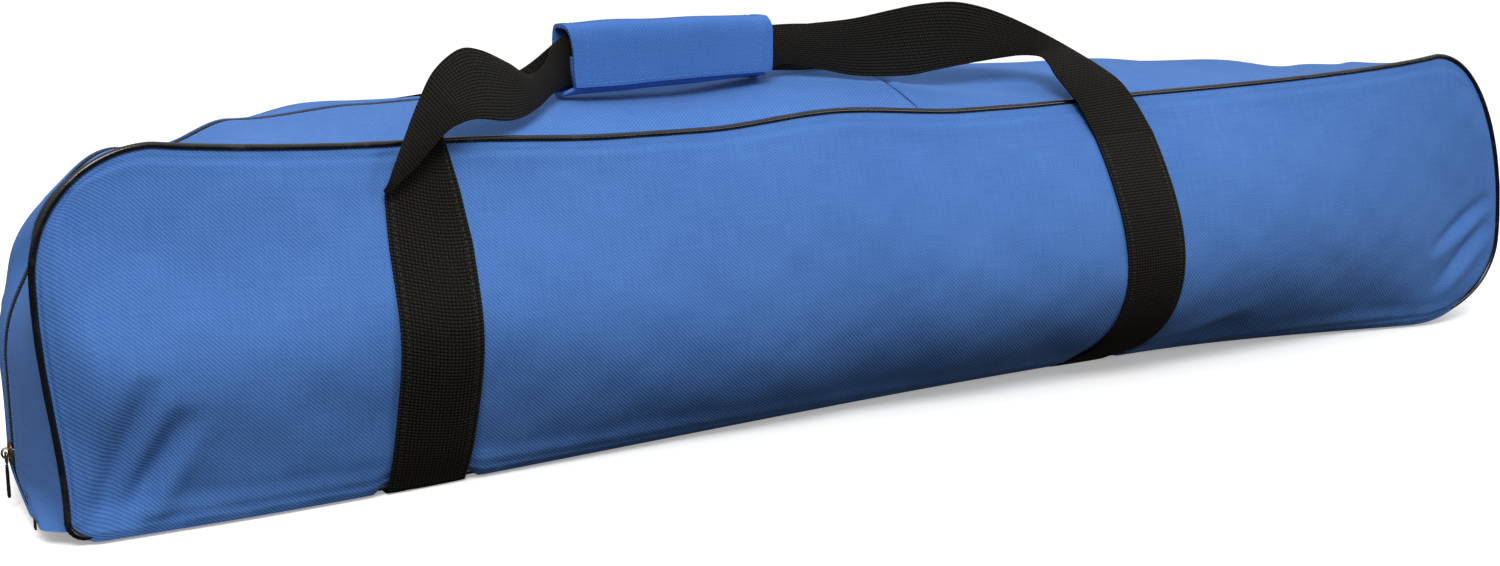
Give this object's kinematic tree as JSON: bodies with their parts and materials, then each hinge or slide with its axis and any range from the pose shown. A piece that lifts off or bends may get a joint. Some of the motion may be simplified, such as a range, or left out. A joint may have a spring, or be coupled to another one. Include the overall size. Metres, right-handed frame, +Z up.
{
  "type": "telescope carry case",
  "caption": "Long soft padded carry case for a telescope or tripod, with piped seams, an end-to-top zip, webbing handles and a hook-and-loop handle wrap.",
  "frame": {"origin": "under the middle of the case, on the surface that it rests on", "axes": "+X along the case from the end with the zip slider to the round end, +Y from the front panel to the back, +Z up"},
  "size_m": [1.1443, 0.262, 0.2725],
  "materials": {
    "case_fabric": "blue woven polyester, matt",
    "foam": "closed-cell foam sheet",
    "lining": "thin black woven lining",
    "piping": "glossy black piping",
    "webbing": "black ribbed webbing",
    "zip_tape": "black woven tape",
    "zip_coil": "black coil",
    "zip_metal": "cast zip hardware",
    "pull_enamel": "black enamel"
  },
  "bodies": {
    "case": {"front_panel": "case_fabric", "back_panel": "case_fabric", "base_gusset": "case_fabric", "round_end_gusset": "case_fabric", "zip_gusset_front": "case_fabric", "zip_gusset_rear": "case_fabric", "front_foam_pad": "foam", "back_foam_pad": "foam", "base_foam_pad": "foam", "round_end_foam_pad": "foam", "front_lining": "lining", "back_lining": "lining", "base_lining": "lining", "round_end_lining": "lining", "front_piping": "piping", "back_piping": "piping", "front_seam_binding": "lining", "back_seam_binding": "lining", "webbing_band_left": "webbing", "webbing_band_right": "webbing", "end_zip_tape_front": "zip_tape", "end_zip_tape_rear": "zip_tape", "end_zip_coil_front": "zip_coil", "end_zip_coil_rear": "zip_coil", "zip_bottom_stop": "zip_metal", "zip_top_stop": "zip_metal"},
    "zip_slider": {"zip_slider_body": "zip_metal", "zip_slider_bail": "zip_metal"},
    "zip_pull": {"zip_pull_link": "zip_metal", "zip_pull_tab": "pull_enamel"},
    "handles": {"handle_front": "webbing", "handle_rear": "webbing", "wrap_body": "case_fabric", "wrap_loop_strip": "zip_tape"},
    "wrap_flap": {"wrap_flap": "case_fabric", "wrap_hook_strip": "zip_tape"},
    "front_zip_flap": {"zip_flap_front": "case_fabric", "top_zip_tape_front": "zip_tape", "top_zip_coil_front": "zip_coil"},
    "rear_zip_flap": {"zip_flap_rear": "case_fabric", "top_zip_tape_rear": "zip_tape", "top_zip_coil_rear": "zip_coil"}
  },
  "joints": [
    {"name": "zip_slide", "type": "slide", "parent": "case", "child": "zip_slider", "axis": [0, 0, 1], "range_m": [0, 0.045]},
    {"name": "zip_pull_swing", "type": "hinge", "parent": "zip_slider", "child": "zip_pull", "pos_m": [-0.57285, 0, 0.034], "axis": [0, 1, 0], "range_deg": [-2, 165]},
    {"name": "handle_lift", "type": "slide", "parent": "case", "child": "handles", "axis": [0, 0, 1], "range_m": [0, 0.09]},
    {"name": "wrap_opening", "type": "hinge", "parent": "handles", "child": "wrap_flap", "pos_m": [-0.1615, -0.0353, 0.2665], "axis": [-1, 0, 0], "range_deg": [0, 110]},
    {"name": "front_zip_flap_fold", "type": "hinge", "parent": "case", "child": "front_zip_flap", "pos_m": [-0.25, -0.055, 0.2105], "axis": [-1, 0, 0], "range_deg": [0, 75]},
    {"name": "rear_zip_flap_fold", "type": "hinge", "parent": "case", "child": "rear_zip_flap", "pos_m": [-0.25, 0.055, 0.2105], "axis": [1, 0, 0], "range_deg": [0, 75]}
  ]
}
